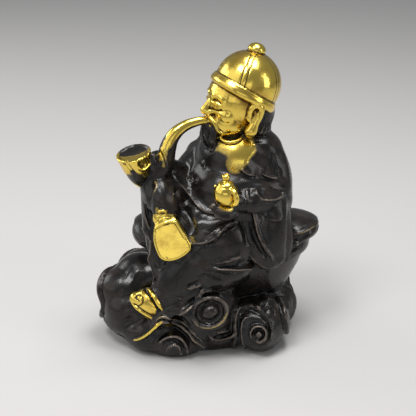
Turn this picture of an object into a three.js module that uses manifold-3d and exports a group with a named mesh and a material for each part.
// A small brass figure of an old earth god, cast in one piece with its seat and base.
// He sits on a boat-shaped gold ingot that stands on a bank of clouds, in a melon cap and a long robe,
// smokes a curved pipe that rests on his raised right knee, and holds a teapot in his left hand.
// Millimetres, +Z up. The origin is the middle of the underside. The front of the base looks along -Y,
// the ingot lies along X, and the figure's left is on the +X side.

import * as THREE from "three";
import { mergeVertices } from "three/addons/utils/BufferGeometryUtils.js";
import Module from "manifold-3d";

const wasm = await Module();
wasm.setup();

// The body turns to the figure's right, and the head turns further and tips back. Degrees.
const BODY_TURN = -40;
const HEAD_TURN = -67;
const HEAD_TIP = -15;

// The cap: a ball of this radius about this centre, with five raised seams and a knob. The first seam
// stands this many degrees round from the face.
// Its rolled band is worn low at the nape, so it tips back more than the head.
const CAP = { centre: [18.6, 4, 127.6], radius: 15.7, seams: 5, first: 53, seamWidth: 2.3, seamRise: 0.3 };
const BAND = { radius: 17.2, top: -2.4, bottom: -6.6, tip: -17 };
const KNOB = { height: 16.6, radius: 3.5, thickness: 2.7, collar: 4.1 };

// The pipe: a stem from the mouth that swells to the heel, and a bowl that leans outwards.
const STEM = [
  [1.8, -3.4, 112.2, 1.6],
  [-6, -6.5, 112.3, 2.3],
  [-11.9, -8.5, 110.3, 2.8],
  [-16.2, -10, 106.5, 3.3],
  [-18.6, -11, 101.2, 4.0],
  [-19.8, -11.5, 95.4, 4.4],
  [-21.6, -11.5, 91, 4.8],
];
const BOWL = {
  foot: [-31.4, -10.6, 83.6],
  rim: [-34.7, -12.8, 99.8],
  rimRadius: 8.4,
  wall: 1.3,
  recess: 2.2,
};

// The teapot that the left hand holds before the belly.
const POT = { centre: [8, -28.6, 86.2], radius: 5.7, height: 5.3, knob: 1.9 };

// The ingot that he sits on: its middle, its reach along X at the horns and its height above the table.
const INGOT = {
  middle: [9, 2],
  foot: { z: 13, length: 25, width: 17 },
  waist: { z: 44, length: 40, width: 26.4 },
  horn: { z: 50, length: 42, width: 25, flank: 43 },
  seat: 43,
  lips: [
    { at: [41, 3.6, 54.4], size: [14.6, 15, 6.6] },
    { at: [-27, 2, 52.6], size: [11, 15, 8.2] },
  ],
};

// The cloud bank: oval puffs round a core. The two at the front carry a large curl each.
const CORE = { middle: [-3, 1], length: 39, width: 30, height: 25 };
const PUFFS = [
  {
    at: [24, -18.5, 12],
    size: [17, 16, 14],
    curl: { looks: [0.2, -1, 0], reach: 42, turns: 1.6, hand: 1, ridge: 1.5 },
  },
  {
    at: [-16, -20, 8],
    size: [18, 16.2, 13],
    curl: { looks: [0, -1, 0], reach: 34, turns: 1.3, hand: -1, ridge: 1.3 },
  },
  { at: [31, 3, 11], size: [14, 18, 14] },
  { at: [33, 8, 19], size: [9.4, 13, 9] },
  { at: [21, 22, 13], size: [18, 14.5, 15] },
  { at: [-8, 24, 14], size: [19, 13.2, 17] },
  { at: [-33, 15, 16], size: [17, 16, 18] },
  { at: [-40.4, -10, 25.2], size: [15.4, 12.6, 11.6] },
  { at: [-32, -5, 29], size: [15, 15, 14.5] },
  { at: [-38, -16, 18], size: [14, 12, 11] },
];
const UNDER_LEFT = { at: [-34, -11, 13], size: [19, 18, 13] };
const FRONT_BANK = { at: [-2, -20, 21], size: [17, 15.4, 18.4] };

// The small ingot set in the front bank: an oval rim round a dome.
const TREASURE = {
  at: [0.8, -36.4, 27.8],
  rim: 9.2,
  squash: 0.84,
  dome: 4.6,
  rise: 2.1,
  looks: [-0.1, -1, 0.3],
  lean: 24,
};

const DEG = Math.PI / 180;
const vec = (p) => new THREE.Vector3(...p);

// The solid that a closed geometry bounds.
function solid(geometry) {
  const bare = geometry.clone();
  bare.deleteAttribute("normal");
  bare.deleteAttribute("uv");
  const merged = mergeVertices(bare, 1e-4);
  return new wasm.Manifold(
    new wasm.Mesh({
      numProp: 3,
      vertProperties: merged.attributes.position.array,
      triVerts: new Uint32Array(merged.index.array),
    }),
  );
}

const join = (solids) => solids.reduce((whole, piece) => whole.add(piece));

// An oval mass: a ball stretched to three half-sizes, turned about Z and then set in place.
function mass(at, size, turn = 0, segments = 14) {
  const geometry = new THREE.SphereGeometry(1, segments, Math.round(segments * 0.55));
  geometry.rotateX(Math.PI / 2);
  geometry.scale(...size);
  geometry.rotateZ(turn * DEG);
  geometry.translate(...at);
  return geometry;
}

// A closed skin over rings of equal length, drawn to a point at each end.
function skin(rings, first, last) {
  const around = rings[0].length;
  const points = [first, ...rings.flat(), last];
  const faces = [];
  const at = (ring, k) => 1 + ring * around + (k % around);
  for (let k = 0; k < around; k++) {
    faces.push(0, at(0, k + 1), at(0, k));
    for (let r = 0; r + 1 < rings.length; r++) {
      faces.push(at(r, k), at(r, k + 1), at(r + 1, k + 1));
      faces.push(at(r, k), at(r + 1, k + 1), at(r + 1, k));
    }
    faces.push(points.length - 1, at(rings.length - 1, k), at(rings.length - 1, k + 1));
  }
  const geometry = new THREE.BufferGeometry().setFromPoints(points);
  geometry.setIndex(faces);
  return geometry;
}

// A limb, fold or ridge: an oval section carried along a smooth curve, with round ends.
// A station is x, y, z, half width and half thickness; the thin side looks along `looks`.
function sweep(stations, { sides = 8, steps = 10, looks = [0, -1, 0.2] } = {}) {
  const curve = new THREE.CatmullRomCurve3(stations.map(([x, y, z]) => new THREE.Vector3(x, y, z)));
  const sizes = new THREE.SplineCurve(stations.map((s) => new THREE.Vector2(s[3], s[4] ?? s[3])));
  const face = vec(looks);
  const ring = (centre, tangent, wide, thick) => {
    const side = face.clone().cross(tangent).normalize();
    const up = tangent.clone().cross(side);
    return Array.from({ length: sides }, (_, k) => {
      const a = (k / sides) * 2 * Math.PI;
      return centre
        .clone()
        .addScaledVector(side, wide * Math.cos(a))
        .addScaledVector(up, thick * Math.sin(a));
    });
  };
  const rings = [];
  const end = (t, way) => {
    const size = sizes.getPoint(t);
    const tangent = curve.getTangent(t);
    const reach = Math.min(size.x, size.y) * way;
    const round = ring(
      curve.getPoint(t).addScaledVector(tangent, reach * 0.7),
      tangent,
      size.x * 0.7,
      size.y * 0.7,
    );
    return { round, tip: curve.getPoint(t).addScaledVector(tangent, reach) };
  };
  const start = end(0, -1);
  const finish = end(1, 1);
  rings.push(start.round);
  for (let i = 0; i <= steps; i++) {
    const t = i / steps;
    const size = sizes.getPoint(t);
    rings.push(ring(curve.getPoint(t), curve.getTangent(t), size.x, size.y));
  }
  rings.push(finish.round);
  return skin(rings, start.tip, finish.tip);
}

// A fold or seam laid on an oval mass: each station is a direction out from the mass, as degrees round
// from -Y towards +X and degrees up, then its half width and how far it stands proud.
function laid({ at, size, turn = 0 }, stations, { steps = 8, sides = 6 } = {}) {
  const middle = stations[Math.floor(stations.length / 2)];
  const outward = (round, up) =>
    new THREE.Vector3(
      Math.cos(up * DEG) * Math.sin(round * DEG),
      -Math.cos(up * DEG) * Math.cos(round * DEG),
      Math.sin(up * DEG),
    );
  const path = stations.map(([round, up, wide, proud]) => {
    const point = outward(round, up).multiply(vec(size));
    point.applyAxisAngle(new THREE.Vector3(0, 0, 1), turn * DEG).add(vec(at));
    return [...point.toArray(), wide, proud];
  });
  const looks = outward(middle[0], middle[1]).applyAxisAngle(new THREE.Vector3(0, 0, 1), turn * DEG);
  return sweep(path, { sides, steps, looks: looks.toArray() });
}

// A turned form about +Z, from a profile of radius and height that starts and ends on the axis.
function turned(profile, segments = 18) {
  const geometry = new THREE.LatheGeometry(profile.map(([r, z]) => new THREE.Vector2(r, z)), segments);
  geometry.rotateX(Math.PI / 2);
  return geometry;
}

// Stands a form made about +Z at a point, with its axis along a direction.
function aimed(geometry, at, direction) {
  const up = new THREE.Vector3(0, 0, 1);
  geometry.applyQuaternion(new THREE.Quaternion().setFromUnitVectors(up, vec(direction).normalize()));
  geometry.translate(...at);
  return geometry;
}

// The head's own frame: the middle of the cap, the face along -Y and the crown along +Z.
const headFrame = new THREE.Matrix4()
  .makeTranslation(...CAP.centre)
  .multiply(new THREE.Matrix4().makeRotationZ(HEAD_TURN * DEG))
  .multiply(new THREE.Matrix4().makeRotationX(HEAD_TIP * DEG));
const inHead = (geometry) => solid(geometry.applyMatrix4(headFrame));

// The dome of the cap: its rings rise a little at each seam, and a seam keeps one width all the way up.
function capDome() {
  const { radius, seams, first, seamWidth, seamRise } = CAP;
  const rings = [];
  for (const up of [-26, 4, 30, 54, 76]) {
    const level = radius * Math.cos(up * DEG);
    const half = Math.atan(seamWidth / 2 / level);
    const gap = (2 * Math.PI) / seams;
    const ring = [];
    for (let k = 0; k < seams; k++) {
      const seam = k * gap + (first - 90) * DEG;
      const stops = [[-half, seamRise], [half, seamRise], [gap * 0.37, 0], [gap * 0.63, 0]];
      for (const [turn, rise] of stops) {
        const reach = (radius + rise) * Math.cos(up * DEG);
        const a = seam + turn;
        ring.push(
          new THREE.Vector3(reach * Math.cos(a), reach * Math.sin(a), (radius + rise) * Math.sin(up * DEG)),
        );
      }
    }
    rings.push(ring);
  }
  return skin(rings, new THREE.Vector3(0, 0, -radius * 0.6), new THREE.Vector3(0, 0, radius));
}

function cap() {
  const middle = (BAND.top + BAND.bottom) / 2;
  const band = turned(
    [
      [0, BAND.top],
      [BAND.radius - 1.2, BAND.top],
      [BAND.radius, middle],
      [BAND.radius - 1.2, BAND.bottom],
      [0, BAND.bottom],
    ].reverse(),
    20,
  );
  band.rotateX(BAND.tip * DEG);
  const knob = [
    [0, KNOB.height + KNOB.thickness],
    [KNOB.radius * 0.7, KNOB.height + KNOB.thickness * 0.7],
    [KNOB.radius, KNOB.height],
    [KNOB.collar, CAP.radius - 0.5],
    [KNOB.collar, CAP.radius - 2],
    [0, CAP.radius - 2],
  ];
  return join([capDome(), band, turned(knob.reverse(), 10)].map(inHead));
}

function head() {
  const pieces = [
    mass([0, -2.4, -9.4], [13.8, 15.4, 16.6], 0, 14),
    mass([0, -10, -20.6], [8.4, 6.8, 6.4], 0, 9),
    mass([0, 6, -12.5], [12.8, 10.4, 13], 0, 10),
    sweep(
      [[0, -17, -8.8, 1.2], [0, -18.2, -12, 1.5], [0, -18.9, -14.6, 1.9]],
      { sides: 5, steps: 2, looks: [1, 0, 0] },
    ),
  ];
  for (const side of [-1, 1]) {
    pieces.push(
      sweep(
        [
          [side * 13.6, -1.8, -13, 1.1],
          [side * 14.4, -3, -9.6, 1.3],
          [side * 15.1, -2, -6.9, 1.4],
          [side * 15.5, 1.4, -8, 1.5],
          [side * 14.9, 1, -14, 1.9],
          [side * 14.4, 0, -19, 2.6],
        ],
        { sides: 4, steps: 7, looks: [1, 0.2, 0] },
      ),
    );
  }
  return join(pieces.map(inHead));
}

function beard() {
  return inHead(
    sweep(
      [[0, -15, -22.8, 4.8, 3], [0.2, -14, -28, 5, 3.2], [1, -8.6, -34, 2.6, 1.6]],
      { sides: 6, steps: 3, looks: [0, -1, 0] },
    ),
  );
}

const BELLY = { at: [11, -0.5, 73], size: [25, 23, 23], turn: BODY_TURN };
const CHEST = { at: [13.5, 2.5, 90], size: [20.5, 18.4, 18.5], turn: BODY_TURN };
const BACK = { at: [17, 8, 84], size: [18, 16, 25] };
const SEAT = { at: [14, 4, 58], size: [26, 22, 17] };

function torso() {
  return join(
    [
      mass(BELLY.at, BELLY.size, BELLY.turn, 14),
      mass(CHEST.at, CHEST.size, CHEST.turn, 14),
      mass(BACK.at, BACK.size, 0, 10),
      mass(SEAT.at, SEAT.size, 0, 10),
      sweep([[21, 6, 102, 9.8], [19, 5, 110, 9]], { sides: 8, steps: 1, looks: [0, -1, 0] }),
      sweep(
        [[3.4, 15, 93.4, 8.8], [13, 11, 99, 10.8], [24.8, 0, 95, 11.3]],
        { sides: 8, steps: 3, looks: [0, 0, 1] },
      ),
      sweep(
        [[5, -7, 104.4, 1.2], [9.5, -10, 102.8, 1.4], [15, -10.4, 102.8, 1.4], [20, -7.4, 104.4, 1.2]],
        { sides: 4, steps: 4, looks: [0, -0.6, 1] },
      ),
    ].map(solid),
  );
}

// The jacket: the rounded corner of its front flap, and its hem.
function jacket() {
  const flap = [
    [-28, 34, 2, 1.3],
    [-14, 18, 2.2, 1.4],
    [8, 8, 2.2, 1.5],
    [36, 8, 2.2, 1.5],
    [62, 12, 2, 1.2],
  ];
  return solid(laid(BELLY, flap, { steps: 7, sides: 5 }));
}

function leftArm() {
  return join([
    solid(sweep([[24.8, 0, 95, 11.2], [29.6, -2.5, 84, 10.8], [31, -5, 74, 10]], { sides: 8, steps: 3 })),
    solid(
      sweep([[31, -6, 73, 10, 9.6], [26, -14, 76.4, 8.4, 8.4], [19.5, -20.5, 78.4, 6.4, 6]], {
        sides: 8,
        steps: 3,
        looks: [0, 0, 1],
      }),
    ),
    // The wide sleeve hangs from the forearm, and its opening shows as a double rim along the front.
    solid(
      sweep(
        [[29, -12, 74, 9, 6], [28.6, -17, 68, 9.2, 6], [29.6, -19.6, 58, 8.4, 5.6], [32.6, -19, 49, 5, 3.4]],
        { sides: 8, steps: 4, looks: [-0.2, -1, 0] },
      ),
    ),
    solid(
      sweep(
        [[32.6, -10, 66, 7.6], [36, -12, 54, 6.2], [37, -13, 46, 3.6]],
        { sides: 6, steps: 3, looks: [-1, 0, 0] },
      ),
    ),
    solid(
      sweep(
        [
          [23, -18, 73, 6.4, 4.6],
          [21.6, -21.4, 66, 6.2, 4.4],
          [22.4, -23.6, 57, 5.8, 4],
          [26, -23.6, 50, 4.4, 3],
          [31.4, -21, 46, 3.2, 2.2],
        ],
        { sides: 7, steps: 5, looks: [-0.3, -1, 0] },
      ),
    ),
  ]);
}

function leftHand() {
  const fingers = [0, 1, 2, 3].map((k) => {
    const lift = 79.4 - 0.9 * k;
    const out = -31 + 1.7 * k;
    return solid(
      sweep(
        [
          [13 - k, out + 3, lift - 1, 1.6],
          [7.6, out, lift - 1.4, 1.6],
          [3.4 - 0.2 * k, out + 0.8, lift + 1.6, 1.4],
        ],
        { sides: 4, steps: 2, looks: [0, 0, 1] },
      ),
    );
  });
  return join([
    solid(mass([12, -25.4, 78.4], [6.6, 5.4, 3.4], -20, 8)),
    solid(sweep([[16.5, -23.4, 79, 3.8], [12, -26, 79, 3.4]], { sides: 7, steps: 1, looks: [0, 0, 1] })),
    ...fingers,
  ]);
}

function teapot() {
  const { radius: r, height: h } = POT;
  const profile = [
    [0, -h],
    [r * 0.55, -h],
    [r * 0.86, -h * 0.62],
    [r, -h * 0.05],
    [r * 0.9, h * 0.45],
    [r * 0.62, h * 0.8],
    [r * 0.62, h * 0.98],
    [r * 0.3, h * 1.18],
    [0, h * 1.22],
  ];
  const handle = [];
  for (let a = 100; a >= -100; a -= 25) {
    handle.push([r * 0.77 + 3.5 * Math.cos(a * DEG), 0, 3.6 * Math.sin(a * DEG) - 0.6, 1.2]);
  }
  const spout = [[-r * 0.77, 0, -1.6, 1.5], [-r * 1.16, 0, -0.6, 1.1], [-r * 1.33, 0, 0.8, 0.8]];
  const pieces = [
    turned(profile, 10),
    mass([0, 0, h * 1.22 + POT.knob * 0.8], [POT.knob, POT.knob, POT.knob], 0, 8),
    sweep(handle, { sides: 4, steps: 8, looks: [0, 1, 0] }),
    sweep(spout, { sides: 5, steps: 2, looks: [0, 1, 0] }),
  ];
  return join(
    pieces.map((geometry) => {
      geometry.rotateZ(-52 * DEG);
      geometry.translate(...POT.centre);
      return solid(geometry);
    }),
  );
}

function rightArm() {
  return join([
    solid(sweep([[3.4, 15, 93, 8.6], [-5.6, 9, 85.6, 8.2], [-12.4, 2, 79.4, 8]], { sides: 8, steps: 3 })),
    solid(sweep([[-12.4, 2, 80, 8], [-18, -2.5, 86, 6.4], [-22.6, -6.4, 92, 4.8]], { sides: 8, steps: 4 })),
    solid(mass([-24.4, -7.2, 94], [4.6, 4.4, 4.8], 0, 8)),
    solid(
      sweep(
        [[-22.4, -8.6, 91.4, 1.9], [-24.2, -13.6, 95.4, 1.9], [-24.9, -13.4, 99.6, 1.6]],
        { sides: 5, steps: 3, looks: [1, 0, 0] },
      ),
    ),
  ]);
}

function pipe() {
  const axis = vec(BOWL.rim).sub(vec(BOWL.foot));
  const depth = axis.length();
  const r = BOWL.rimRadius;
  const profile = [
    [0, -1.5],
    [r * 0.34, -1],
    [r * 0.56, depth * 0.12],
    [r * 0.82, depth * 0.5],
    [r, depth - 1.2],
    [r - 0.2, depth],
    [r - BOWL.wall, depth],
    [r - BOWL.wall - 0.1, depth - BOWL.recess],
    [0, depth - BOWL.recess],
  ];
  return join([
    solid(sweep(STEM, { sides: 8, steps: 8, looks: [0.2, -1, 0.2] })),
    solid(
      sweep(
        [STEM.at(-1), [-25.6, -11.4, 86.8, 4.2], [...BOWL.foot, 3.6]],
        { sides: 8, steps: 4, looks: [0, -1, 0] },
      ),
    ),
    solid(aimed(turned(profile, 16), BOWL.foot, axis.toArray())),
  ]);
}

// The right leg lies over the left knee, so that the sole of its shoe looks at the viewer.
function rightLeg() {
  const sole = new THREE.Shape();
  sole.moveTo(-6.4, -8);
  sole.quadraticCurveTo(0, -10.4, 5, -7.4);
  sole.lineTo(8.6, -3);
  sole.lineTo(4.6, 5);
  sole.quadraticCurveTo(1.2, 9.4, -4.6, 6.2);
  sole.quadraticCurveTo(-9.4, 2, -6.4, -8);
  const shoe = new THREE.ExtrudeGeometry(sole, {
    depth: 6.5,
    bevelSize: 0.5,
    bevelThickness: 0.5,
    bevelSegments: 1,
    curveSegments: 4,
  });
  shoe.rotateZ(4 * DEG);
  return join([
    solid(
      sweep(
        [[4, 8, 66, 16], [-10, 0, 73, 13], [-23.6, -9, 80.6, 8.8]],
        { sides: 8, steps: 3, looks: [0, 0, 1] },
      ),
    ),
    solid(
      sweep(
        [[-23.6, -9.4, 80.6, 8.7], [-22, -15, 77.4, 8.4], [-20.4, -18.4, 75.6, 6.8]],
        { sides: 8, steps: 3, looks: [1, 0, 0] },
      ),
    ),
    solid(aimed(shoe, [-17, -23.5, 60], [-0.06, -0.93, 0.36])),
    solid(mass([-18.2, -21.6, 71], [8.2, 5.2, 5.6], 0, 10)),
    solid(
      sweep(
        [[-28, -10, 76, 4.4], [-26.6, -14, 64, 5], [-24.6, -17.6, 53, 5], [-23, -21.6, 40, 3]],
        { sides: 6, steps: 4 },
      ),
    ),
  ]);
}

function leftLeg() {
  return join([
    solid(
      sweep(
        [[22, -5, 55, 13], [9, -14, 54, 13.4], [-6, -22, 49, 12.5]],
        { sides: 8, steps: 3, looks: [0, 0, 1] },
      ),
    ),
    solid(
      sweep(
        [[-6, -22, 49, 12.5], [-13, -24.4, 40, 11], [-19.5, -26.5, 31.5, 8.5]],
        { sides: 8, steps: 3, looks: [0, -1, 0] },
      ),
    ),
    solid(
      sweep([[-20, -27.4, 26, 6.8], [-26.5, -28.2, 29, 7, 6.6], [-34.6, -27.4, 30, 3.6, 3.4]], {
        sides: 8,
        steps: 4,
        looks: [-0.3, 0.1, 1],
      }),
    ),
    solid(
      sweep([[-19.8, -31, 19.8, 3.4, 1.5], [-29.4, -30.8, 24.8, 3.4, 1.6], [-36, -28.8, 29.4, 2.2, 1.2]], {
        sides: 4,
        steps: 3,
        looks: [0.4, 0, 1],
      }),
    ),
  ]);
}

// The skirt of the robe: cloth over the lap and the seat, with hanging swags between the knees.
const LAP = { at: [4.6, -11, 57], size: [22.5, 22.5, 19], turn: -12 };
const SKIRT_FRONT = { at: [0, -17, 45], size: [22, 18, 14], turn: -8 };

function skirt() {
  const hem = [[-34, 20, 1.6, 1.2], [-22, 14, 1.8, 1.4], [-6, 26, 1.8, 1.5], [8, 36, 1.6, 1.3]];
  const low = [[-30, 20, 1.4, 1], [-4, 2, 1.6, 1.3], [28, 20, 1.4, 1]];
  return join([
    solid(mass(LAP.at, LAP.size, LAP.turn, 12)),
    solid(mass(SKIRT_FRONT.at, SKIRT_FRONT.size, SKIRT_FRONT.turn, 11)),
    solid(mass([-5, -13, 62], [15, 14, 15], 0, 10)),
    solid(laid(LAP, hem, { steps: 4, sides: 4 })),
    solid(laid(SKIRT_FRONT, low, { steps: 5, sides: 4 })),
  ]);
}

// The ingot: a boat whose rim climbs to a round lip at each end, and whose top dips inside the rim.
function ingot() {
  const around = 18;
  const { foot, waist, horn, middle, seat, lips } = INGOT;
  const ring = (length, width, height, flank) =>
    Array.from({ length: around }, (_, k) => {
      const a = (k / around) * 2 * Math.PI;
      const end = Math.cos(a) ** 2;
      return new THREE.Vector3(
        middle[0] + length * Math.cos(a),
        middle[1] + width * Math.sin(a),
        flank + (height - flank) * end * end,
      );
    });
  const rings = [ring(foot.length, foot.width, foot.z, foot.z)];
  for (const share of [0.4, 1]) {
    const swell = Math.sin((share * Math.PI) / 2);
    const z = foot.z + (waist.z - foot.z) * share;
    const flank = foot.z + (40 - foot.z) * share;
    rings.push(
      ring(
        foot.length + (waist.length - foot.length) * swell,
        foot.width + (waist.width - foot.width) * swell,
        z,
        flank,
      ),
    );
  }
  rings.push(ring(horn.length - 1.6, horn.width + 0.6, horn.z - 5, horn.flank - 2.4));
  rings.push(ring(horn.length, horn.width + 0.8, horn.z, horn.flank));
  rings.push(ring(horn.length - 3.4, horn.width - 1.4, horn.z + 4.4, horn.flank + 0.6));
  rings.push(ring(horn.length * 0.76, horn.width * 0.7, seat + 8, seat));
  rings.push(ring(horn.length * 0.5, horn.width * 0.5, seat, seat));
  const boat = skin(rings, new THREE.Vector3(...middle, foot.z), new THREE.Vector3(...middle, seat));
  return join([solid(boat), ...lips.map(({ at, size }) => solid(mass(at, size, 0, 10)))]);
}

// A cloud puff: an oval mass, and on some a raised curl on the side that it shows.
function puff({ at, size, curl }) {
  const ball = solid(mass(at, size, 0, curl ? 11 : 9));
  if (!curl) {
    return [ball];
  }
  const { looks, reach, turns, hand, ridge } = curl;
  const out = vec(looks).normalize();
  const across = out.clone().cross(new THREE.Vector3(0, 0, 1)).normalize();
  const up = across.clone().cross(out);
  const stations = [];
  const count = Math.round(turns * 6) + 2;
  for (let i = 0; i < count; i++) {
    const share = i / (count - 1);
    const angle = hand * share * turns * 2 * Math.PI - Math.PI / 2;
    const lean = reach * (0.16 + 0.84 * share) * DEG;
    const way = out
      .clone()
      .multiplyScalar(Math.cos(lean))
      .addScaledVector(across, Math.sin(lean) * Math.cos(angle))
      .addScaledVector(up, Math.sin(lean) * Math.sin(angle));
    const surface = way.multiply(vec(size)).add(vec(at));
    stations.push([...surface.toArray(), ridge * (0.75 + 0.35 * share)]);
  }
  return [ball, solid(sweep(stations, { sides: 4, steps: stations.length - 1, looks }))];
}

function cloudBank() {
  const { middle, length, width, height } = CORE;
  const ring = (share, z) =>
    Array.from({ length: 12 }, (_, k) => {
      const a = (k / 12) * 2 * Math.PI;
      return new THREE.Vector3(
        middle[0] + length * share * Math.cos(a),
        middle[1] + width * share * Math.sin(a),
        z,
      );
    });
  const core = skin(
    [ring(1, -2), ring(1.02, 6), ring(0.8, height)],
    new THREE.Vector3(...middle, -2),
    new THREE.Vector3(...middle, height + 1),
  );
  const crest = sweep(
    [
      [-39, -26, 11, 3.2],
      [-29.4, -31.6, 14.6, 3.6],
      [-22.4, -33, 21.6, 3.6],
      [-14.6, -32.6, 22.4, 3.4],
      [-8, -32, 14.6, 3.2],
      [-3, -30.4, 7, 3],
    ],
    { sides: 6, steps: 7 },
  );
  const brow = sweep(
    [
      [-14, -31, 27, 3.4],
      [-8, -30.6, 34, 4.2],
      [0, -28.6, 37.4, 4.4],
      [8, -24, 36, 3.6],
    ],
    { sides: 6, steps: 4 },
  );
  return join([
    solid(core),
    solid(mass(UNDER_LEFT.at, UNDER_LEFT.size, 0, 11)),
    solid(mass(FRONT_BANK.at, FRONT_BANK.size, 0, 11)),
    ...PUFFS.flatMap(puff),
    solid(crest),
    solid(brow),
  ]);
}

function treasure() {
  const { rim, dome, rise } = TREASURE;
  const profile = [
    [0, -3],
    [rim * 0.9, -3],
    [rim, -0.2],
    [rim * 0.93, 0.9],
    [dome * 1.25, 0.3],
    [dome, 0.9],
    [dome * 0.62, rise * 0.82],
    [0, rise],
  ];
  const form = turned(profile, 14);
  form.scale(1, TREASURE.squash, 1);
  form.rotateZ(TREASURE.lean * DEG);
  return solid(aimed(form, TREASURE.at, TREASURE.looks));
}

const whole = join([
  cap(),
  head(),
  beard(),
  torso(),
  jacket(),
  leftArm(),
  leftHand(),
  teapot(),
  rightArm(),
  pipe(),
  rightLeg(),
  leftLeg(),
  skirt(),
  ingot(),
  cloudBank(),
  treasure(),
]);

// The underside is cut off flat, as the casting is ground to stand.
const below = new THREE.BoxGeometry(300, 300, 40);
below.translate(0, 0, -20);
const cast = whole.subtract(solid(below));

const { min, max } = cast.boundingBox();
const { vertProperties, triVerts, numProp } = cast.getMesh();
const points = new Float32Array((vertProperties.length / numProp) * 3);
for (let i = 0; i < points.length / 3; i++) {
  points.set(vertProperties.subarray(i * numProp, i * numProp + 3), i * 3);
}
const geometry = new THREE.BufferGeometry();
geometry.setAttribute("position", new THREE.BufferAttribute(points, 3));
geometry.setIndex(new THREE.BufferAttribute(triVerts, 1));
geometry.translate(-(min[0] + max[0]) / 2, -(min[1] + max[1]) / 2, 0);
geometry.computeVertexNormals();

const darkBrass = new THREE.MeshStandardMaterial({ color: 0x2a2320, roughness: 0.38, metalness: 0.9 });
const figure = new THREE.Mesh(geometry, darkBrass);
figure.name = "tudigong_figure";

const group = new THREE.Group();
group.add(figure);
export default group;
